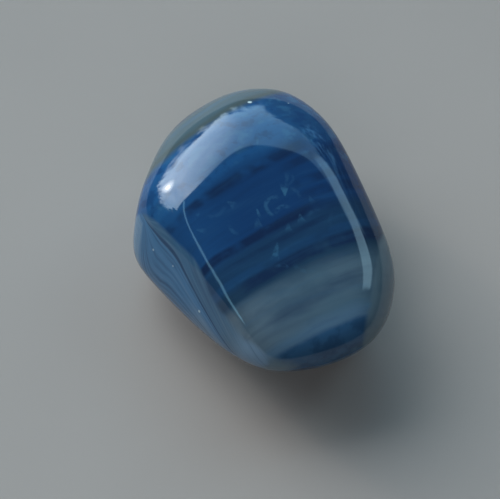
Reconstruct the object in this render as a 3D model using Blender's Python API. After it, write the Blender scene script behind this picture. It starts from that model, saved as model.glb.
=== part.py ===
"""Agate: one tumbled and polished piece of banded blue agate, lying on its flat underside.

The stone is modelled in metres with +Z up. The origin is the middle of its bounding box,
on the surface that it rests on. Seen along +Y, +X is to the right.
"""

import math

import bmesh
import bpy
import numpy as np

NAME = "agate"
MM = 0.001

# Every broad face that the tumbling left: the direction that it looks in, as an azimuth
# from +X towards +Y and an elevation above the horizon, both in degrees, and how far it
# lies from the middle of the stone, in millimetres.
FACES = {
    "top": (-80, 80, 7.0),
    "left slope": (215, 50, 11.5),
    "left": (175, 10, 17.5),
    "left front": (220, 25, 12.5),
    "left low": (220, -25, 14.5),
    "back left": (165, 0, 15.5),
    "back left rim": (140, 45, 16.0),
    "back left shoulder": (160, 60, 11.5),
    "back": (130, 25, 17.5),
    "back shoulder": (110, 65, 12.5),
    "back right shoulder": (60, 65, 11.5),
    "back top": (85, 35, 18.5),
    "back low": (95, -5, 20.0),
    "right shoulder": (10, 50, 11.0),
    "right back": (40, 0, 15.0),
    "right low": (-10, -5, 17.0),
    "right rim": (25, -20, 11.0),
    "front right": (-45, -30, 18.5),
    "front right shoulder": (-20, 40, 15.5),
    "front": (-80, -20, 21.0),
    "front middle": (-65, -10, 22.5),
    "front slope": (-75, 40, 17.0),
    "front low": (-90, -45, 15.5),
    "front left low": (-120, -40, 15.0),
    "underside": (-90, -90, 11.0),
    "under left": (205, -50, 14.0),
    "under front": (-55, -50, 16.5),
    "under right": (10, -45, 15.0),
    "under back": (110, -40, 15.0),
}

EDGE_SHARPNESS = 14.0         # higher values leave less rounding between the broad faces
REST_DEPTH = 10.0             # the flat rest is this far below the middle, in millimetres
REST_EDGE = 0.4               # half the height over which the flat rest is rounded into the sides
SPHERE_SUBDIVISIONS = 5       # 5,120 triangles

STONE_COLOUR = (0.012, 0.050, 0.130, 1.0)
STONE_ROUGHNESS = 0.06
STONE_IOR = 1.54


def face_direction(azimuth, elevation):
    """Unit vector that looks along an azimuth and an elevation given in degrees."""
    a = math.radians(azimuth)
    e = math.radians(elevation)
    return (math.cos(e) * math.cos(a), math.cos(e) * math.sin(a), math.sin(e))


def tumbled_radius(directions):
    """Distance in metres from the middle to the surface, along each unit direction.

    A flat face at distance d with normal n is met at d / (x . n). The sum of the powers
    of (x . n) / d over all faces blends the faces, and rounds every edge between them.
    """
    normals = np.array([face_direction(a, e) for a, e, _ in FACES.values()])
    distances = np.array([d * MM for _, _, d in FACES.values()])
    nearness = np.clip(directions @ normals.T, 0.0, None) / distances
    return (nearness ** EDGE_SHARPNESS).sum(axis=1) ** (-1.0 / EDGE_SHARPNESS)


def settle(heights):
    """Heights above the rest, with all that lies lower worn flat to it.

    Within an edge band of half height h around zero the height z becomes
    (z + h) squared / 4h, which meets the flat and the side without a crease.
    """
    band = REST_EDGE * MM
    rounded = (heights + band) ** 2 / (4 * band)
    return np.where(heights > band, heights, np.where(heights < -band, 0.0, rounded))


def clear_scene():
    """Take away whatever objects the file opened with."""
    for old in list(bpy.data.objects):
        bpy.data.objects.remove(old, do_unlink=True)


def stone_material():
    """Polished deep blue chalcedony."""
    material = bpy.data.materials.new("blue banded agate")
    material.use_nodes = True
    shader = material.node_tree.nodes["Principled BSDF"]
    shader.inputs["Base Color"].default_value = STONE_COLOUR
    shader.inputs["Roughness"].default_value = STONE_ROUGHNESS
    shader.inputs["Metallic"].default_value = 0.0
    shader.inputs["IOR"].default_value = STONE_IOR
    return material


def make_stone(collection):
    """A sphere of even triangles, drawn out to the tumbled form and laid on its flat rest."""
    bpy.ops.mesh.primitive_ico_sphere_add(subdivisions=SPHERE_SUBDIVISIONS, radius=1.0)
    stone = bpy.context.object
    stone.name = NAME
    mesh = stone.data
    mesh.name = NAME

    points = np.empty(len(mesh.vertices) * 3)
    mesh.vertices.foreach_get("co", points)
    points = points.reshape(-1, 3)
    directions = points / np.linalg.norm(points, axis=1, keepdims=True)
    points = directions * tumbled_radius(directions)[:, None]

    points[:, 2] = settle(points[:, 2] + REST_DEPTH * MM)
    middle = (points.min(axis=0) + points.max(axis=0)) / 2
    points[:, :2] -= middle[:2]
    mesh.vertices.foreach_set("co", points.ravel())
    mesh.update()

    work = bmesh.new()
    work.from_mesh(mesh)
    bmesh.ops.recalc_face_normals(work, faces=work.faces)
    work.to_mesh(mesh)
    work.free()
    mesh.shade_smooth()

    mesh.materials.append(stone_material())
    for holder in list(stone.users_collection):
        holder.objects.unlink(stone)
    collection.objects.link(stone)
    return stone


def main():
    clear_scene()
    collection = bpy.data.collections.new(NAME)
    bpy.context.scene.collection.children.link(collection)
    make_stone(collection)


if __name__ == "__main__":
    main()
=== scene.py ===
"""Agate: one tumbled and polished piece of blue banded agate, on a plain pale floor.

The stone is worked out as one closed surface and gets its bands, its outer lining and its
pale marks from shader maths on Object coordinates. Lengths in the shader are millimetres.
"""

import math

import bpy
import numpy as np
from bpy.props import FloatProperty, FloatVectorProperty, IntProperty, PointerProperty
from bpy.types import Operator, Panel, PropertyGroup
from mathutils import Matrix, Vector


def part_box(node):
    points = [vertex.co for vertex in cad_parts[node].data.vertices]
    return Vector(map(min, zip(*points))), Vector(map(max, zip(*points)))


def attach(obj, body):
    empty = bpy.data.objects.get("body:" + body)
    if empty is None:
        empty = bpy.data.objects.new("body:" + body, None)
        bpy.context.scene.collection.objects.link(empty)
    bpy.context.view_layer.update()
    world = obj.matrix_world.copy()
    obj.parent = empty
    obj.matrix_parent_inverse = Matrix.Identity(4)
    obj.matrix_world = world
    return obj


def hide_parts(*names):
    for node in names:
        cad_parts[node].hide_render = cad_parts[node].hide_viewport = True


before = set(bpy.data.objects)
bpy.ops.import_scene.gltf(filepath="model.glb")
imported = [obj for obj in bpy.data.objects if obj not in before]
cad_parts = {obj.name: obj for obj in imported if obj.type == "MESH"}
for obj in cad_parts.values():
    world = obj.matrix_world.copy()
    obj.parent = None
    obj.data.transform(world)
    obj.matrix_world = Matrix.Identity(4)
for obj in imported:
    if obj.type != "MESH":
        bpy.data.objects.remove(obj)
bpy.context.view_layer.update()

bl_info = {
    "name": "Blue banded agate",
    "version": (1, 0, 0),
    "blender": (4, 5, 0),
    "location": "3D View > Sidebar > Agate",
    "description": "A tumbled and polished piece of blue banded agate with its light and camera",
    "category": "Object",
}

NODE = "agate"
MM = 0.001

# Every broad face that the tumbling left: the direction that it looks in, as an azimuth
# from +X towards +Y and an elevation above the horizon, both in degrees, and how far it
# lies from the middle of the stone, in millimetres.
FACES = {
    "top": (-80, 80, 7.0),
    "left slope": (215, 50, 11.5),
    "left": (175, 10, 17.5),
    "left front": (220, 25, 12.5),
    "left low": (220, -25, 14.5),
    "back left": (165, 0, 15.5),
    "back left rim": (140, 45, 16.0),
    "back left shoulder": (160, 60, 11.5),
    "back": (130, 25, 17.5),
    "back shoulder": (110, 65, 12.5),
    "back right shoulder": (60, 65, 11.5),
    "back top": (85, 35, 18.5),
    "back low": (95, -5, 20.0),
    "right shoulder": (10, 50, 11.0),
    "right back": (40, 0, 15.0),
    "right low": (-10, -5, 17.0),
    "right rim": (25, -20, 11.0),
    "front right": (-45, -30, 18.5),
    "front right shoulder": (-20, 40, 15.5),
    "front": (-80, -20, 21.0),
    "front middle": (-65, -10, 22.5),
    "front slope": (-75, 40, 17.0),
    "front low": (-90, -45, 15.5),
    "front left low": (-120, -40, 15.0),
    "underside": (-90, -90, 11.0),
    "under left": (205, -50, 14.0),
    "under front": (-55, -50, 16.5),
    "under right": (10, -45, 15.0),
    "under back": (110, -40, 15.0),
}
EDGE_SHARPNESS = 14.0         # higher values leave less rounding between the broad faces
REST_DEPTH = 10.0             # the flat rest is this far below the middle, in millimetres
REST_EDGE = 0.4               # half the height over which the flat rest is rounded into the sides

WAVES = 14                    # crossing waves that make up the polish's slight roll
DIMPLES = 26                  # shallow hollows where the tumbling knocked the face
SEED = 11

# The bands are curved sheets through the whole stone. Their coordinate is a distance in
# millimetres, measured across them from front to back.
BAND_TURN = 26.0              # degrees from +X to the direction that the bands run in
BAND_CURVE = 0.0085           # how fast they curl away from their middle, per millimetre
BAND_MIDDLE = 7.2             # where along the bands that middle lies
BAND_FAN = -0.0075            # how much they spread apart along their length
BAND_LEAN = 0.293             # how far they lean back for each millimetre of height
TOP_HEIGHT = 17.0             # the height at which the band coordinate is true

FLOOR_HALF = 0.75
CAMERA_ELEVATION = 55.0       # degrees above the horizon
CAMERA_DISTANCE = 0.240
CAMERA_AIM = (-0.00147, -0.00178, 0.0085)
CAMERA_LENS = 144.0           # on a sensor 36 mm wide


def face_direction(azimuth, elevation):
    """Unit vector that looks along an azimuth and an elevation given in degrees."""
    a = math.radians(azimuth)
    e = math.radians(elevation)
    return np.array([math.cos(e) * math.cos(a), math.cos(e) * math.sin(a), math.sin(e)])


def tumbled_radius(directions):
    """Distance in millimetres from the middle to the surface, along each unit direction.

    A flat face at distance d with normal n is met at d / (x . n). The sum of the powers
    of (x . n) / d over all faces blends the faces, and rounds every edge between them.
    """
    normals = np.array([face_direction(a, e) for a, e, _ in FACES.values()])
    distances = np.array([d for _, _, d in FACES.values()])
    nearness = np.clip(directions @ normals.T, 0.0, None) / distances
    return (nearness ** EDGE_SHARPNESS).sum(axis=1) ** (-1.0 / EDGE_SHARPNESS)


def settle(heights):
    """Heights above the rest, with all that lies lower worn flat to it.

    Within an edge band of half height h around zero the height z becomes
    (z + h) squared / 4h, which meets the flat and the side without a crease.
    """
    rounded = (heights + REST_EDGE) ** 2 / (4 * REST_EDGE)
    return np.where(heights > REST_EDGE, heights, np.where(heights < -REST_EDGE, 0.0, rounded))


def sphere_grids(squares):
    """Unit directions of six square grids that close into a sphere, and their quads.

    Over one grid the parameters u and v run from -45 to 45 degrees, and the direction is
    (1, tan u, tan v) brought to length one, turned to one of the six sides of a cube.
    Points that two grids share on a seam are kept once.
    """
    angles = np.linspace(-math.pi / 4, math.pi / 4, squares + 1)
    u, v = np.meshgrid(np.tan(angles), np.tan(angles), indexing="ij")
    step = squares + 1
    corner = (np.arange(squares)[:, None] * step + np.arange(squares)).ravel()
    quad = np.stack([corner, corner + step, corner + step + 1, corner + 1], axis=1)
    points = []
    quads = []
    for axis in range(3):
        for side in (1.0, -1.0):
            grid = np.empty((step, step, 3))
            grid[..., axis] = side
            grid[..., (axis + 1) % 3] = u * side
            grid[..., (axis + 2) % 3] = v
            quads.append(quad + len(points) * step * step)
            points.append(grid.reshape(-1, 3))
    points = np.concatenate(points)
    quads = np.concatenate(quads)
    _, first, place = np.unique(np.round(points, 7), axis=0, return_index=True, return_inverse=True)
    directions = points[first] / np.linalg.norm(points[first], axis=1, keepdims=True)
    return directions, place.reshape(-1)[quads]


def rolling(points, height, length, draws):
    """Slight roll of a polished face: a sum of sine waves that cross in all directions.

    Each wave is sin(k . x + phase), where k has the length 2 pi over the wave's length
    and a random direction, and the sum is scaled to the height wanted.
    """
    ways = draws.normal(size=(WAVES, 3))
    ways *= (2 * math.pi / length) / np.linalg.norm(ways, axis=1, keepdims=True)
    ways *= draws.uniform(0.6, 1.5, size=(WAVES, 1))
    phases = draws.uniform(0, 2 * math.pi, size=WAVES)
    return height * np.sin(points @ ways.T + phases).sum(axis=1) / math.sqrt(WAVES)


def dimpled(points, depth, width, draws):
    """Shallow round hollows: each sinks by depth times exp(-(distance / width) squared)."""
    chosen = points[draws.integers(0, len(points), size=DIMPLES)]
    widths = width * draws.uniform(0.6, 1.5, size=DIMPLES)
    depths = depth * draws.uniform(0.3, 1.0, size=DIMPLES)
    sunk = np.zeros(len(points))
    for centre, reach, deep in zip(chosen, widths, depths):
        sunk += deep * np.exp(-((points - centre) ** 2).sum(axis=1) / reach ** 2)
    return sunk


def stone_points(directions, form):
    """The tumbled form with its roll and hollows, laid on its rest and centred on the CAD box."""
    draws = np.random.default_rng(SEED)
    points = directions * tumbled_radius(directions)[:, None]
    relief = rolling(points, form.roll_height / MM, form.roll_length / MM, draws)
    relief -= dimpled(points, form.dimple_depth / MM, form.dimple_width / MM, draws)
    plain = points[:, :2]
    middle = (plain.min(axis=0) + plain.max(axis=0)) / 2
    points = points + directions * relief[:, None]
    points[:, 2] = settle(points[:, 2] + REST_DEPTH)
    low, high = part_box(NODE)
    points[:, :2] += (np.array(low[:2]) + np.array(high[:2])) / (2 * MM) - middle
    return points * MM


def mesh_object(name, points, quads):
    """A smooth closed mesh object at the origin from arrays of points and quads."""
    mesh = bpy.data.meshes.new(name)
    mesh.vertices.add(len(points))
    mesh.vertices.foreach_set("co", points.astype(np.float32).ravel())
    mesh.loops.add(quads.size)
    mesh.loops.foreach_set("vertex_index", quads.astype(np.int32).ravel())
    mesh.polygons.add(len(quads))
    mesh.polygons.foreach_set("loop_start", np.arange(0, quads.size, 4, dtype=np.int32))
    mesh.update(calc_edges=True)
    mesh.validate()
    mesh.shade_smooth()
    made = bpy.data.objects.new(name, mesh)
    bpy.context.scene.collection.objects.link(made)
    return made


class Signal:
    """One value, colour or vector in a shader. Python's operators on a value add Math nodes."""

    def __init__(self, tree, socket):
        self.tree = tree
        self.socket = socket

    def math(self, operation, *others):
        return self.tree.node("ShaderNodeMath", {"operation": operation},
                              dict(enumerate((self,) + others)))

    def __add__(self, other):
        return self.math("ADD", other)

    __radd__ = __add__

    def __sub__(self, other):
        return self.math("SUBTRACT", other)

    def __rsub__(self, other):
        return self.tree.node("ShaderNodeMath", {"operation": "SUBTRACT"}, {0: other, 1: self})

    def __mul__(self, other):
        return self.math("MULTIPLY", other)

    __rmul__ = __mul__

    def __truediv__(self, other):
        return self.math("DIVIDE", other)

    def degrees(self):
        return self * (180 / math.pi)

    def size(self):
        return self.math("ABSOLUTE")

    def least(self, other):
        return self.math("MINIMUM", other)

    def most(self, other):
        return self.math("MAXIMUM", other)

    def fade(self, zero_at, one_at):
        """0 at one value of the signal and 1 at another, with a smooth step between."""
        return self.tree.node("ShaderNodeMapRange", {"interpolation_type": "SMOOTHSTEP"},
                              {"Value": self, "From Min": zero_at, "From Max": one_at}, "Result")

    def stripe(self, centre, half_width, softness):
        """1 within half a width of the centre, and 0 once past a soft edge."""
        return (self - centre).size().fade(half_width + softness, half_width)


class ShaderTree:
    """The node tree of a material or a world, built up by method calls."""

    def __init__(self, owner, shader):
        owner.use_nodes = True
        self.owner = owner
        self.nodes = owner.node_tree.nodes
        self.links = owner.node_tree.links
        self.shader = self.nodes[shader]

    @staticmethod
    def pick(sockets, key):
        if isinstance(key, int):
            return sockets[key]
        return next(socket for socket in sockets if socket.name == key and socket.enabled)

    def node(self, kind, settings, inputs, output=0):
        """Any node, from its type, its settings, and the values or links of its sockets."""
        made = self.nodes.new(kind)
        for name, value in settings.items():
            if name == "stops":
                self.set_stops(made.color_ramp, value)
            else:
                setattr(made, name, value)
        for key, value in inputs.items():
            socket = self.pick(made.inputs, key)
            if isinstance(value, Signal):
                self.links.new(value.socket, socket)
            else:
                socket.default_value = value
        return Signal(self, self.pick(made.outputs, output))

    @staticmethod
    def set_stops(ramp, stops):
        while len(ramp.elements) < len(stops):
            ramp.elements.new(1.0)
        for element, (position, colour) in zip(ramp.elements, stops):
            element.position = position
            element.color = (*colour, 1.0)

    def place(self):
        """The point on the stone in Object coordinates, in millimetres."""
        spot = self.node("ShaderNodeTexCoord", {}, {}, "Object")
        return self.node("ShaderNodeVectorMath", {"operation": "SCALE"}, {0: spot, "Scale": 1 / MM})

    def vector(self, operation, *values):
        return self.node("ShaderNodeVectorMath", {"operation": operation}, dict(enumerate(values)))

    def dot(self, first, second):
        return self.node("ShaderNodeVectorMath", {"operation": "DOT_PRODUCT"},
                         {0: first, 1: second}, "Value")

    def parts(self, vector):
        """The three numbers of a vector."""
        made = self.nodes.new("ShaderNodeSeparateXYZ")
        self.links.new(vector.socket, made.inputs[0])
        return [Signal(self, socket) for socket in made.outputs]

    def join(self, x, y, z):
        return self.node("ShaderNodeCombineXYZ", {}, {0: x, 1: y, 2: z})

    def noise(self, place, scale, detail=3.0, output="Fac"):
        """Cloudy noise; the scale is in clouds for each millimetre."""
        return self.node("ShaderNodeTexNoise", {},
                         {"Vector": place, "Scale": scale, "Detail": detail}, output)

    def blend(self, mask, under, over):
        """The colour over where the mask is 1, and the colour under where it is 0."""
        return self.node("ShaderNodeMix", {"data_type": "RGBA"},
                         {"Factor": mask, "A": under, "B": over}, "Result")

    def ramp(self, value, low, high, stops):
        """A colour ramp whose stops are given in the value's own unit."""
        scaled = (value - low) / (high - low)
        placed = [((at - low) / (high - low), colour) for at, colour in stops]
        return self.node("ShaderNodeValToRGB", {"stops": placed}, {"Fac": scaled}, "Color")

    def finish(self, **inputs):
        """Sets or links the sockets of the closing shader, and gives the material or world."""
        for name, value in inputs.items():
            socket = self.shader.inputs[name.replace("_", " ")]
            if isinstance(value, Signal):
                self.links.new(value.socket, socket)
            else:
                socket.default_value = value
        return self.owner


def new_material(name):
    return ShaderTree(bpy.data.materials.new(name), "Principled BSDF")


def warped(tree, place, scale, reach):
    """The place, pushed about by soft noise up to about half of the reach in millimetres."""
    cloud = tree.noise(place, scale, 2.0, "Color")
    push = tree.vector("SUBTRACT", cloud, (0.5, 0.5, 0.5))
    push = tree.node("ShaderNodeVectorMath", {"operation": "SCALE"}, {0: push, "Scale": reach})
    return tree.vector("ADD", place, push)


def band_coordinates(tree, place):
    """How far along and how far across the bands a point lies, in millimetres.

    Across is the distance at right angles to the bands' direction in plan, plus a square
    term that curls them, a product term that fans them out, and a lean with the height.
    """
    x, y, z = tree.parts(place)
    turn = math.radians(BAND_TURN)
    along = x * math.cos(turn) + y * math.sin(turn)
    straight = y * math.cos(turn) - x * math.sin(turn)
    offset = along - BAND_MIDDLE
    across = straight + offset * offset * BAND_CURVE + along * straight * BAND_FAN
    return along, across + (z - TOP_HEIGHT) * BAND_LEAN


def opaque(colour):
    return (*colour, 1.0)


def band_zones(tree, across, colours):
    """The broad layers and painted reflections, from the front of the stone to its back."""
    return tree.ramp(across, -30.0, 30.0, [
        (-27.0, colours.deep),
        (-22.0, colours.lens),
        (-18.8, colours.lens),
        # -18.3 to -17.8: a thin pale line painted where the front crest turns down.
        (-18.3, colours.arc),
        (-17.8, colours.arc),
        (-16.6, colours.grey),
        (-12.0, colours.grey),
        (-9.9, colours.smoke),
        (-8.7, colours.smoke),
        (-8.0, colours.mid),
        (-4.9, colours.mid),
        (-3.2, colours.deep),
        (3.4, colours.deep),
        (6.6, colours.bright),
        (12.4, colours.bright),
        # 13.3 to 13.6: a dark olive line, a painted reflection of the dark horizon beside the broad
        #               highlight.
        (13.3, colours.painted_horizon_reflection),
        (13.6, colours.painted_horizon_reflection),
        # 14.2 to 19: the grey cap, partly a grey outer layer and partly a painted reflection of the
        #             floor along the back rim.
        (14.2, colours.cap_and_floor_reflection),
        (19.0, colours.cap_and_floor_reflection),
        (22.0, colours.mid),
        (28.0, colours.deep),
    ])


# Thin bands: place across, half width and softness of the edge in millimetres, the stretch
# along the band that it shows on, its strength, and the colour that it takes.
THIN_BANDS = (
    (18.6, 0.15, 0.40, (-16.0, 16.0), 0.50, "pale_blue"),
    (17.1, 0.22, 0.40, (-16.0, 16.0), 0.50, "navy"),
    (15.7, 0.12, 0.35, (-16.0, 16.0), 0.22, "slate"),
    (4.2, 0.28, 0.75, (-12.0, 7.5), 0.85, "navy"),
    (2.4, 0.25, 0.60, (3.5, 9.0), 0.60, "navy"),
    (-0.4, 0.25, 0.60, (4.0, 11.0), 0.55, "navy"),
    (-2.2, 0.30, 0.60, (4.5, 13.0), 0.60, "navy"),
    (-3.8, 0.30, 0.55, (-12.0, 5.0), 0.95, "navy"),
    (-4.5, 0.20, 0.40, (5.0, 9.0), 0.45, "navy"),
    (-5.6, 0.12, 0.35, (-8.0, 6.0), 0.50, "navy"),
    (-7.4, 0.25, 0.50, (-14.0, 16.0), 0.22, "bright"),
    (-8.8, 0.45, 0.60, (-7.0, 16.0), 0.85, "navy"),
)


def thin_bands(tree, place, along, across, colour, colours):
    """Narrow dark and light bands, each fading in and out along its length."""
    patches = tree.noise(place, 0.35, 2.0)
    for centre, half_width, softness, (start, end), strength, name in THIN_BANDS:
        band = across.stripe(centre, half_width, softness)
        reach = along.fade(start - 2.0, start + 2.0) * along.fade(end + 2.0, end - 2.0)
        strong = band * reach * patches.fade(0.25, 0.55) * strength
        colour = tree.blend(strong, colour, opaque(getattr(colours, name)))
    return colour


def striations(tree, place, along, across):
    """Fine lines along the bands, from noise that is stretched along them."""
    _, _, z = tree.parts(place)
    fine = tree.noise(tree.join(along * 0.12, across * 1.1, z * 0.20), 1.0, 4.0)
    broad = tree.noise(tree.join(along * 0.07, across * 0.45, z * 0.10), 1.0, 2.0)
    return fine, broad


def milky_patches(tree, place, along, across, colour, colours):
    """Cloudy patches in the grey layer: some warm and pale, some dark and blue."""
    _, _, z = tree.parts(place)
    stretched = tree.join(along * 0.15, across * 0.26, z * 0.22)
    layer = across.fade(-18.0, -16.8) * across.fade(-9.6, -11.4)
    warm = tree.noise(stretched, 1.0, 3.0).fade(0.48, 0.66)
    dark = tree.noise(tree.vector("ADD", stretched, (7.0, 3.0, 5.0)), 1.0, 3.0).fade(0.50, 0.68)
    warm = (warm * 0.22 + along.fade(2.0, -8.0) * 0.58).least(1.0)
    colour = tree.blend(layer * warm, colour, opaque(colours.warm))
    return tree.blend(layer * dark * 0.28, colour, opaque(colours.smoke))


def mottles(tree, place, along, across, colour, colours):
    """Paler and darker flecks in the blue at the front and towards the back of the stone."""
    flecks = tree.noise(place, 0.55, 4.0)
    front = across.fade(-18.2, -19.2)
    colour = tree.blend(front * flecks.fade(0.46, 0.62) * 0.55, colour, opaque(colours.mid))
    right = along.fade(5.0, 8.5)
    dull = right * across.fade(4.5, 6.5) * across.fade(13.6, 12.0)
    colour = tree.blend(dull * 0.50, colour, opaque(colours.mid))
    zone = (across + right * 5.5).fade(4.1, 7.6) * across.fade(13.6, 12.0)
    colour = tree.blend(zone * flecks.fade(0.52, 0.66) * 0.55, colour, opaque(colours.pale_blue))
    return tree.blend(zone * flecks.fade(0.46, 0.34) * 0.70, colour, opaque(colours.deep))


# The outer lining shows on the steep left front. It lies beyond this depth in millimetres
# along this direction, and its hair lines fan out below the crest from a notch at its back.
# Hair lines: fan level, half width and softness in the same measure, strength.
LINING_FACE = (219, 12)
LINING_DEPTH = 13.55
LINING_LENGTH = (0.6, -0.8, 0.0)      # the way that the crest runs down, in plan
HAIR_LINES = (
    (0.0, 0.10, 0.22, 0.90),
    (0.62, 0.03, 0.16, 0.40),
    (2.2, 0.02, 0.30, 0.18),
    (4.3, 0.06, 0.40, 0.45),
    (5.1, 0.03, 0.30, 0.30),
    (6.2, 0.05, 0.40, 0.40),
    (7.8, 0.10, 0.60, 0.35),
)


def lining_places(tree, place):
    """Whether a point is in the lining, how far down the crest it lies, and its fan level.

    The lining's inner limit sinks a little along the crest and rises again at its foot.
    The main dark line keeps level at first and then falls away along the crest. A point's
    fan level is its drop below that line, divided by how far the fan has opened there.
    """
    _, _, z = tree.parts(place)
    down = tree.dot(place, LINING_LENGTH)
    depth = tree.dot(place, tuple(face_direction(*LINING_FACE)))
    depth = depth - down.fade(0.5, 7.5) * 0.78 + (down - 12.0).most(0.0) * 0.15
    inside = depth.fade(LINING_DEPTH - 0.10, LINING_DEPTH + 0.16)
    main_line = tree.node("ShaderNodeMath", {"operation": "SMOOTH_MIN"},
                          {0: down * -0.36 + 12.85, 1: 13.35, 2: 0.8})
    opened = down.fade(-8.5, -3.2).most(0.06)
    level = (main_line - z) / opened * ((down + 2.0).most(0.0) * 0.12 + 1.0)
    return inside, down, level


def lining(tree, place, colour, colours):
    """The pale outer layer over the left front, with dark hair lines that draw together, and a paler
    foot that is partly painted reflection.
    """
    inside, down, level = lining_places(tree, place)
    skin = tree.ramp(level, -8.0, 16.0, [
        (-6.0, colours.pale_lining),
        (-0.4, colours.pale_lining),
        (0.4, colours.slate),
        (7.0, colours.slate),
        (15.5, colours.mist),
    ])
    cloud = tree.noise(tree.join(down * 0.16, level * 0.45, 0.0), 1.0, 3.0)
    skin = tree.blend(cloud.fade(0.45, 0.70) * 0.40, skin, opaque(colours.pale_blue))
    skin = tree.blend(cloud.fade(0.45, 0.28) * 0.40, skin, opaque(colours.mid))
    # Towards the foot of the crest, near the floor, the lining turns paler: partly its own colour and
    # partly a painted reflection of the floor with a slight painted highlight at the lower edge.
    skin = tree.blend(down.fade(5.0, 13.0) * 0.45, skin, opaque(colours.skin))
    foot = (down.fade(2.0, 6.0) * level.fade(1.0, 3.0)).most(down.fade(10.0, 13.0))
    skin = tree.blend(foot * 0.80, skin, opaque(colours.mist))
    grain = tree.noise(tree.join(down * 0.12, level * 1.5, 3.0), 1.0, 4.0)
    skin = tree.blend(grain.fade(0.50, 0.72) * 0.35, skin, opaque(colours.mid))
    skin = tree.blend(grain.fade(0.50, 0.30) * 0.30, skin, opaque(colours.mist))
    for at, half_width, softness, strength in HAIR_LINES:
        line = level.stripe(at, half_width, softness) * cloud.fade(0.25, 0.50) * strength
        skin = tree.blend(line, skin, opaque(colours.seam))
    return tree.blend(inside, colour, skin)


# Pale marks under the polish, on the broad top, in plan. Arcs: middle, radius, the way they
# face, half their span in degrees, half width, strength. Chips: tip, the way they widen,
# length, half width at the far end, strength. Specks: middle, radius, strength. Lengths are
# millimetres.
ARCS = (
    (1.6, -1.4, 1.20, 170, 88, 0.07, 0.50),
    (2.7, -2.6, 1.25, 118, 50, 0.08, 0.45),
    (3.1, -0.3, 1.25, 45, 42, 0.04, 0.28),
    (-2.5, -3.6, 1.40, 215, 42, 0.07, 0.32),
    (6.6, -3.0, 1.30, 125, 40, 0.06, 0.24),
    (10.0, -3.0, 2.10, 180, 24, 0.07, 0.22),
    (2.2, -9.6, 0.75, 90, 60, 0.05, 0.30),
    (1.5, 15.0, 0.55, 100, 120, 0.05, 0.45),
    (5.3, -7.6, 2.00, 250, 40, 0.05, 0.18),
    (-6.0, -1.2, 1.60, 300, 50, 0.05, 0.18),
)
CHIPS = (
    (2.6, -0.1, 90, 1.10, 0.42, 0.85),
    (2.8, 0.8, 88, 2.20, 0.22, 0.25),
    (1.7, -6.0, 262, 1.95, 0.42, 0.62),
    (-0.7, -1.7, -68, 0.90, 0.14, 0.62),
    (-0.6, -2.9, 275, 1.10, 0.42, 0.30),
    (-4.2, -0.9, -32, 0.90, 0.40, 0.36),
    (4.3, -2.3, -78, 0.80, 0.32, 0.42),
    (3.0, -3.5, -90, 0.85, 0.36, 0.28),
    (-7.7, -4.4, -10, 0.90, 0.26, 0.34),
    (-7.9, -3.2, 62, 0.90, 0.14, 0.30),
    (5.4, 0.1, -60, 0.80, 0.28, 0.20),
    (-0.6, 6.4, 88, 0.90, 0.10, 0.40),
)
SPECKS = (
    (-1.5, 14.3, 16.7, 0.28, 1.00),
    (-12.9, -4.0, 11.6, 0.15, 0.50),
    (-7.4, -11.7, 10.1, 0.18, 0.70),
    (-10.5, -6.6, 12.0, 0.13, 0.40),
    (3.2, 14.7, 16.0, 0.12, 0.45),
)


def arc_mark(x, y, middle_x, middle_y, radius, facing, half_span, half_width, strength):
    """Part of a ring: near the radius, and within the span around the way that it faces."""
    turn = math.radians(facing)
    out_x = x - middle_x
    out_y = y - middle_y
    distance = (out_x * out_x + out_y * out_y).math("SQRT")
    ring = distance.stripe(radius, half_width, 0.30)
    facing_part = (out_x * math.cos(turn) + out_y * math.sin(turn)) / distance
    edge = math.cos(math.radians(half_span))
    return ring * facing_part.fade(edge - 0.15, edge + 0.35) * strength


def chip_mark(x, y, tip_x, tip_y, facing, length, half_width, strength):
    """A wedge that widens evenly from its tip, and fades out past its length."""
    turn = math.radians(facing)
    out_x = x - tip_x
    out_y = y - tip_y
    forward = out_x * math.cos(turn) + out_y * math.sin(turn)
    aside = (out_y * math.cos(turn) - out_x * math.sin(turn)).size()
    slack = aside - forward * (half_width / length)
    wedge = slack.fade(0.16, -0.06) * forward.fade(-0.1, 0.2)
    return wedge * forward.fade(length + 0.45, length * 0.7) * strength


def speck_mark(tree, place, x, y, z, radius, strength):
    """A small round light spot around a point."""
    distance = tree.node("ShaderNodeVectorMath", {"operation": "DISTANCE"},
                         {0: place, 1: (x, y, z)}, "Value")
    return distance.fade(radius * 1.3, radius * 0.5) * strength


def top_marks(tree, place):
    """All marks of the broad top together, kept to the upper side."""
    x, y, z = tree.parts(warped(tree, place, 0.9, 0.35))
    marks = [arc_mark(x, y, *arc) for arc in ARCS]
    marks += [chip_mark(x, y, *chip) for chip in CHIPS]
    strongest = marks[0]
    for mark in marks[1:]:
        strongest = strongest.most(mark)
    worn = tree.noise(place, 1.3, 3.0).fade(0.30, 0.58)
    return strongest * worn * z.fade(11.0, 13.0)


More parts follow.
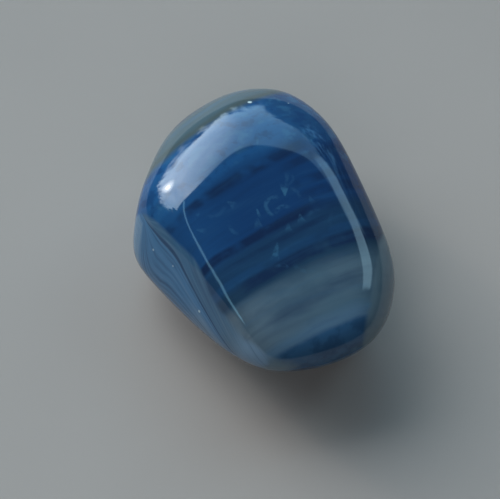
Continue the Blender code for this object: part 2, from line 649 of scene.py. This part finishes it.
def scattered_crescents(tree, place):
    """Small random crescents all round the stone, as tumbling leaves them under the polish.

    Around every Voronoi point lies a sphere, and where it meets the surface it draws a ring.
    Only the part of the ring that faces the point's own random direction is kept.
    """
    cells = tree.nodes.new("ShaderNodeTexVoronoi")
    cells.inputs["Scale"].default_value = 0.21
    tree.links.new(place.socket, cells.inputs["Vector"])
    point = Signal(tree, cells.outputs["Position"])
    chance = Signal(tree, cells.outputs["Color"])
    gap = tree.vector("SUBTRACT", place, point)
    distance = tree.node("ShaderNodeVectorMath", {"operation": "LENGTH"}, {0: gap}, "Value")
    way = tree.vector("SUBTRACT", chance, (0.5, 0.5, 0.5))
    facing = tree.dot(tree.vector("NORMALIZE", gap), tree.vector("NORMALIZE", way))
    pick, spread, _ = tree.parts(chance)
    ring = (distance - spread * 1.3 - 0.5).size().fade(0.20, 0.05)
    return ring * facing.fade(0.35, 0.60) * pick.fade(0.45, 0.60)


# The paler skin round the sides, partly a worn grey layer and partly a painted reflection
# of the floor along the rims: it begins at this many millimetres out, along each azimuth
# from +X towards +Y.
SKIN_AND_RIM_REFLECTION = (
    (-95, 18.80),
    (-60, 20.10),
    (-45, 19.70),
    (-10, 13.90),
)


def skin_and_rim_reflection(tree, place, colour, colours):
    """A thin paler rim at the outermost front and right side: worn layer and painted floor
    reflection.
    """
    mask = None
    for azimuth, start in SKIN_AND_RIM_REFLECTION:
        out = tree.dot(place, tuple(face_direction(azimuth, 0))).fade(start, start + 0.7)
        mask = out if mask is None else mask.most(out)
    patches = tree.noise(place, 0.5, 3.0).fade(0.25, 0.60) * 0.35 + 0.60
    return tree.blend(mask * patches, colour, opaque(colours.skin))


def agate_material(colours, finish):
    """Deep blue chalcedony: bands, grey and lined zones, pale marks, and a glassy polish."""
    tree = new_material("polished blue banded agate")
    place = tree.place()
    bent = warped(tree, place, 0.11, 1.0)
    bent = warped(tree, bent, 0.45, 0.30)
    along, across = band_coordinates(tree, bent)

    colour = band_zones(tree, across, colours)
    lively = along.fade(-2.0, -10.0) * across.fade(-6.0, -3.0) * across.fade(12.0, 9.0)
    colour = tree.blend(lively * 0.35, colour, opaque(colours.bright))
    fine, broad = striations(tree, bent, along, across)
    colour = mottles(tree, bent, along, across, colour, colours)
    colour = milky_patches(tree, bent, along, across, colour, colours)
    colour = tree.blend(broad.fade(0.50, 0.74) * 0.30, colour, opaque(colours.navy))
    colour = thin_bands(tree, bent, along, across, colour, colours)
    colour = tree.blend(fine.fade(0.50, 0.76) * 0.12, colour, opaque(colours.pale_blue))
    colour = tree.blend(fine.fade(0.48, 0.28) * 0.16, colour, opaque(colours.navy))
    # Paler rims at the front and right: a worn layer and a painted reflection of the floor.
    colour = skin_and_rim_reflection(tree, bent, colour, colours)
    colour = lining(tree, warped(tree, place, 0.30, 0.14), colour, colours)

    marks = top_marks(tree, place).most(scattered_crescents(tree, bent) * 0.22)
    colour = tree.blend(marks * 0.65, colour, opaque(colours.mark))
    specks = [speck_mark(tree, place, *speck) for speck in SPECKS]
    spotted = specks[0]
    for speck in specks[1:]:
        spotted = spotted.most(speck)
    colour = tree.blend(spotted, colour, opaque(colours.speck))

    smear = tree.noise(place, 0.25, 3.0)
    return tree.finish(
        Base_Color=colour,
        Roughness=smear * 0.02 + (finish.roughness - 0.01) + spotted * 0.3,
        IOR=finish.ior,
    )


def floor_material(colour):
    """Plain matt floor with a barely visible unevenness."""
    tree = new_material("pale floor")
    place = tree.place()
    cloud = tree.noise(place, 0.03, 4.0)
    shade = tree.blend(cloud.fade(0.3, 0.7), opaque([c * 0.97 for c in colour]), opaque(colour))
    return tree.finish(Base_Color=shade, Roughness=0.7)


def stage_floor(colour):
    """A level square, FLOOR_HALF metres each way from the middle."""
    half = FLOOR_HALF
    points = np.array([(-half, -half, 0), (half, -half, 0), (half, half, 0), (-half, half, 0)])
    floor = mesh_object("floor", points, np.array([[0, 1, 2, 3]]))
    floor.data.materials.append(floor_material(colour))


def stage_camera():
    """The photograph's view: level from side to side, looking down along +Y."""
    e = math.radians(CAMERA_ELEVATION)
    away = Vector((0, -math.cos(e), math.sin(e)))
    data = bpy.data.cameras.new("camera")
    data.lens = CAMERA_LENS
    data.sensor_width = 36.0
    data.sensor_fit = "HORIZONTAL"
    data.clip_start = 0.01
    camera = bpy.data.objects.new("camera", data)
    camera.location = Vector(CAMERA_AIM) + away * CAMERA_DISTANCE
    camera.rotation_euler = (math.pi / 2 - e, 0, 0)
    bpy.context.scene.collection.objects.link(camera)
    bpy.context.scene.camera = camera


# The broad light's brightness by azimuth from +Y towards +X, in degrees, as a share of the
# peak, which is a radiance.
PEAK = 8.0
BROAD_LIGHT = (
    (-100, (0.45, 0.58, 0.68)),
    (-78, (0.50, 0.63, 0.72)),
    (-45, (0.73, 0.83, 0.87)),
    (-24, (0.47, 0.58, 0.63)),
    (-8, (0.19, 0.27, 0.31)),
    (6, (0.10, 0.18, 0.23)),
    (20, (0.05, 0.10, 0.14)),
    (70, (0.05, 0.10, 0.15)),
)
HAZE = (0.10, 0.18, 0.26)     # what dims the broad light here and there

# The broad light's top edge is level and straight: it is square to one azimuth, and has its
# height in degrees there. Its foot is ragged, and is given by azimuth and height.
BROAD_SIDES = (-84, 40)
BROAD_TOP = (-15, 68)
BROAD_FOOT = (
    (-90, 26),
    (-62, 20),
    (-45, 12),
    (-15, 8),
    (4, 4),
    (15, 24),
    (26, 36),
    (40, 42),
)

# Slanting lights to the right: the brightness of each as a share of the peak, and
# its corners in order, as azimuth and elevation in degrees.
SLANTING_LIGHTS = (
    ((0.14, 0.26, 0.35), ((33, 55), (46, 49), (50, 20), (37, 43))),
    ((0.15, 0.25, 0.31), ((45, 47), (52, 54), (64, 63), (72, 45), (60, 29), (52, 25), (48, 25))),
)

# A dappled patch beside them: its corners in the same way, and its brightness.
DAPPLE = ((20, 48), (36, 46), (47, 26), (46, 8), (20, 8))
DAPPLE_LIGHT = (0.035, 0.095, 0.160)

# A thin line of light: straight stretches between these places, and its half width.
THIN_LINE = ((-60, 61), (-84, 55), (-96, 48), (-104, 34), (-109, 8))
THIN_WIDTH = 0.8
THIN_BRIGHTNESS = (0.12, 0.26, 0.34)

# A small lamp and the glow around it: azimuth, elevation, radius in degrees, brightness.
GLINT = (-53, 27, 3.0, (6.0, 6.0, 5.6))
GLOW = (-53, 27, 9.0, (1.7, 1.8, 1.8))


def aloft(azimuth, elevation):
    """Unit vector into the room, from an azimuth from +Y towards +X and an elevation."""
    a = math.radians(azimuth)
    e = math.radians(elevation)
    return Vector((math.cos(e) * math.sin(a), math.cos(e) * math.cos(a), math.sin(e)))


def sky_directions(tree):
    """Azimuth and elevation of a direction into the room, in degrees."""
    ray = tree.node("ShaderNodeTexCoord", {}, {}, "Generated")
    x, y, z = tree.parts(ray)
    azimuth = x.math("ARCTAN2", y).degrees()
    elevation = z.math("ARCSINE").degrees()
    return ray, azimuth, elevation


def broad_mask(tree, ray, azimuth, elevation, cloud):
    """1 inside the broad light: below its straight top edge, and above its ragged foot."""
    square, height = BROAD_TOP
    edge = aloft(square, height - 90)
    above = tree.dot(ray, tuple(-edge)).math("ARCSINE").degrees()
    low, high = BROAD_SIDES
    stops = [(at, (foot / 90, foot / 90, foot / 90)) for at, foot in BROAD_FOOT]
    foot, _, _ = tree.parts(tree.ramp(azimuth, -180.0, 180.0, stops))
    foot = foot * 90 + (cloud - 0.5) * 18
    side = azimuth + (cloud - 0.5) * 26
    mask = above.fade(0.5, -0.5) * (elevation - foot).fade(-3.0, 3.0)
    return mask * side.fade(low - 1.5, low + 1.5) * azimuth.fade(high + 6, high - 6)


def slanting_mask(tree, ray, corners, softness):
    """1 inside a light whose sides are great circles through its corners in turn.

    A ray is inside when it lies on the inner side of every such circle, the side that the
    middle of the corners is on.
    """
    places = [aloft(*corner) for corner in corners]
    middle = sum(places, Vector())
    mask = None
    for first, last in zip(places, places[1:] + places[:1]):
        pole = first.cross(last).normalized()
        pole = pole if pole.dot(middle) > 0 else -pole
        inner = tree.dot(ray, tuple(pole)).math("ARCSINE").degrees().fade(-softness, softness)
        mask = inner if mask is None else mask * inner
    return mask


def strip_mask(tree, ray, start, end, half_width, softness):
    """1 along a straight strip: near the great circle through its ends, and between them."""
    first = aloft(*start)
    last = aloft(*end)
    pole = first.cross(last).normalized()
    middle = (first + last).normalized()
    reach = math.degrees(first.angle(last) / 2)
    aside = tree.dot(ray, tuple(pole)).math("ARCSINE").degrees().size()
    ends = tree.dot(ray, tuple(middle)).math("ARCCOSINE").degrees()
    return aside.fade(half_width + softness, half_width) * ends.fade(reach + softness, reach)


def disc_mask(tree, ray, azimuth, elevation, radius):
    """1 at the middle of a round light, fading out at its radius."""
    away = tree.dot(ray, tuple(aloft(azimuth, elevation))).math("ARCCOSINE").degrees()
    return away.fade(radius, radius * 0.3)


def stage_room(look):
    """A dim room with one broad light to the left and back, and a pale backdrop.

    The backdrop is only what the camera sees past the floor.
    """
    tree = ShaderTree(bpy.data.worlds.new("room"), "Background")
    ray, azimuth, elevation = sky_directions(tree)
    cloud = tree.noise(ray, 11.0, 5.0)
    broad = tree.ramp(azimuth, -180.0, 180.0, BROAD_LIGHT)
    haze = tree.noise(ray, 3.0, 3.0).fade(0.75, 0.25) * 0.35
    broad = tree.blend(haze, broad, opaque(HAZE))
    light = opaque([part / PEAK for part in look.room])
    light = tree.blend(broad_mask(tree, ray, azimuth, elevation, cloud), light, broad)
    dapple = slanting_mask(tree, ray, DAPPLE, 3.0) * cloud.fade(0.44, 0.62)
    light = tree.blend(dapple, light, opaque(DAPPLE_LIGHT))
    for shine, corners in SLANTING_LIGHTS:
        light = tree.blend(slanting_mask(tree, ray, corners, 1.5), light, opaque(shine))
    for start, end in zip(THIN_LINE, THIN_LINE[1:]):
        strip = strip_mask(tree, ray, start, end, THIN_WIDTH, 0.6)
        light = tree.blend(strip, light, opaque(THIN_BRIGHTNESS))
    for at, height, radius, shine in (GLOW, GLINT):
        light = tree.blend(disc_mask(tree, ray, at, height, radius), light, opaque(shine))
    seen = tree.node("ShaderNodeLightPath", {}, {}, "Is Camera Ray")
    backdrop = [part / PEAK for part in look.backdrop]
    light = tree.blend(seen, light, opaque(backdrop))
    bpy.context.scene.world = tree.finish(Color=light, Strength=PEAK * look.light)


# The soft light from the front: azimuth and elevation in degrees, distance and size in metres.
FILL_PLACE = (195, 40)
FILL_DISTANCE = 0.900
FILL_SIZE = 0.500
FILL_RADIANCE = 2.6
FILL_COLOUR = (0.70, 0.86, 1.00)


def fill_light(name, azimuth, elevation, distance, size, radiance):
    """A square soft light that faces the stone and shows in no reflection.

    The azimuth runs from +Y towards +X and the elevation up from the floor, both in degrees.
    An even light of radiance L and area A gives off pi times A times L watts.
    """
    out = aloft(azimuth, elevation)
    data = bpy.data.lights.new(name, "AREA")
    data.size = size
    data.color = FILL_COLOUR
    data.energy = radiance * math.pi * size * size
    light = bpy.data.objects.new(name, data)
    light.rotation_mode = "QUATERNION"
    light.rotation_quaternion = out.to_track_quat("Z", "Y")
    light.location = out * distance + Vector((0, 0, REST_DEPTH * MM))
    light.visible_camera = False
    light.visible_glossy = False
    bpy.context.scene.collection.objects.link(light)


class AgateForm(PropertyGroup):
    """Sizes of the stone's surface."""

    squares: IntProperty(
        name="Grid squares", description="Squares along each side of the six grids",
        default=126, min=8, max=128)
    roll_height: FloatProperty(
        name="Roll height", description="How far the polished face rolls in and out",
        default=0.000005, unit="LENGTH", precision=6)
    roll_length: FloatProperty(
        name="Roll length", description="Length of the roll's waves",
        default=0.0065, unit="LENGTH", precision=4)
    dimple_depth: FloatProperty(
        name="Dimple depth", description="Depth of the deepest shallow hollow",
        default=0.000008, unit="LENGTH", precision=6)
    dimple_width: FloatProperty(
        name="Dimple width", description="Typical radius of a shallow hollow",
        default=0.0008, unit="LENGTH", precision=4)


def colour_property(name, description, default):
    return FloatVectorProperty(name=name, description=description, default=default,
                               subtype="COLOR", size=3, min=0.0, max=1.0)


class AgateColours(PropertyGroup):
    """Colours of the stone's layers and of its painted reflections, as linear reflectance."""

    deep: colour_property("Deep blue", "The clear blue of the middle", (0.0078, 0.039, 0.115))
    mid: colour_property("Middle blue", "The blue beside the bands", (0.011, 0.040, 0.090))
    bright: colour_property("Bright blue", "The blue towards the back", (0.014, 0.075, 0.190))
    pale_blue: colour_property("Pale blue", "Flecks and fine lines", (0.030, 0.110, 0.210))
    navy: colour_property("Navy", "The dark bands", (0.007, 0.020, 0.058))
    mist: colour_property("Mist", "Pale violet clouds in the lining", (0.122, 0.190, 0.268))
    seam: colour_property("Seam", "The dark hair lines of the lining", (0.011, 0.038, 0.088))
    smoke: colour_property("Smoke", "The dark edge of the grey layer", (0.014, 0.040, 0.075))
    grey: colour_property("Grey", "The milky grey layer", (0.064, 0.106, 0.140))
    warm: colour_property("Warm grey", "Patches in the grey layer", (0.095, 0.128, 0.158))
    # A painted reflection: the dark olive line where the polish would mirror the dark horizon.
    painted_horizon_reflection: colour_property("Olive", "The dark line before the back", (0.060, 0.080, 0.083))
    # Partly a worn outer layer and partly a painted reflection of the floor along the rims.
    skin: colour_property("Skin", "The worn outermost layer round the sides", (0.098, 0.142, 0.172))
    # Partly a grey outer layer and partly a painted reflection of the floor along the back rim.
    cap_and_floor_reflection: colour_property("Cap", "The grey layer at the back", (0.066, 0.100, 0.118))
    # A thin pale line painted along the front crest.
    arc: colour_property("Pale arc", "The thin pale layer at the front", (0.078, 0.136, 0.200))
    lens: colour_property("Front blue", "The blue beyond the pale arc", (0.026, 0.080, 0.158))
    slate: colour_property("Slate", "The outer lining", (0.052, 0.135, 0.245))
    pale_lining: colour_property("Pale lining", "The lining next to the crest", (0.046, 0.098, 0.162))
    mark: colour_property("Marks", "Pale marks under the polish", (0.050, 0.160, 0.260))
    speck: colour_property("Specks", "Small chips through the polish", (0.450, 0.520, 0.520))


class AgateFinish(PropertyGroup):
    """The polish."""

    roughness: FloatProperty(
        name="Roughness", description="Roughness of the polish", default=0.04,
        min=0.0, max=1.0, subtype="FACTOR")
    ior: FloatProperty(
        name="IOR", description="Refractive index of chalcedony", default=1.54, min=1.0, max=2.0)


class AgateStage(PropertyGroup):
    """Floor and light."""

    floor: colour_property("Floor", "Colour of the plain floor", (0.322, 0.264, 0.234))
    room: colour_property("Room", "Light of the dim room", (0.045, 0.050, 0.050))
    backdrop: colour_property("Backdrop", "What shows past the floor", (0.30, 0.30, 0.30))
    light: FloatProperty(
        name="Room light", description="Strength of the room and its lights", default=1.0, min=0.0)
    fill: FloatProperty(
        name="Fill", description="Strength of the soft light from the front", default=1.0, min=0.0)


class AGATE_OT_stone(Operator):
    """Make the polished stone and put it in the place of the plain solid"""

    bl_idname = "agate.stone"
    bl_label = "Agate"

    def execute(self, context):
        scene = context.scene
        directions, quads = sphere_grids(scene.agate_form.squares)
        stone = mesh_object("agate_polished", stone_points(directions, scene.agate_form), quads)
        stone.data.materials.append(agate_material(scene.agate_colours, scene.agate_finish))
        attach(stone, "root")
        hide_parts(NODE)
        return {"FINISHED"}


class AGATE_OT_stage(Operator):
    """Make the pale floor, the soft lights and the camera"""

    bl_idname = "agate.stage"
    bl_label = "Floor, lights and camera"

    def execute(self, context):
        look = context.scene.agate_stage
        stage_floor(look.floor)
        stage_room(look)
        fill_light("front fill", *FILL_PLACE, FILL_DISTANCE, FILL_SIZE, FILL_RADIANCE * look.fill)
        stage_camera()
        context.scene.view_settings.view_transform = "Standard"
        return {"FINISHED"}


class AGATE_PT_panel(Panel):
    """Sidebar panel that lists the agate's operators and values"""

    bl_idname = "AGATE_PT_panel"
    bl_label = "Agate"
    bl_space_type = "VIEW_3D"
    bl_region_type = "UI"
    bl_category = "Agate"

    def draw(self, context):
        layout = self.layout
        for operator in (AGATE_OT_stone, AGATE_OT_stage):
            layout.operator(operator.bl_idname)
        for group in ("agate_form", "agate_colours", "agate_finish", "agate_stage"):
            values = getattr(context.scene, group)
            box = layout.box()
            for name in values.bl_rna.properties.keys():
                if name not in ("rna_type", "name"):
                    box.prop(values, name)


GROUPS = {
    "agate_form": AgateForm,
    "agate_colours": AgateColours,
    "agate_finish": AgateFinish,
    "agate_stage": AgateStage,
}
CLASSES = (*GROUPS.values(), AGATE_OT_stone, AGATE_OT_stage, AGATE_PT_panel)


def register():
    for cls in CLASSES:
        bpy.utils.register_class(cls)
    for name, group in GROUPS.items():
        setattr(bpy.types.Scene, name, PointerProperty(type=group))


def unregister():
    for name in GROUPS:
        delattr(bpy.types.Scene, name)
    for cls in reversed(CLASSES):
        bpy.utils.unregister_class(cls)


def main():
    register()
    bpy.ops.agate.stone()
    bpy.ops.agate.stage()


if __name__ == "__main__":
    main()
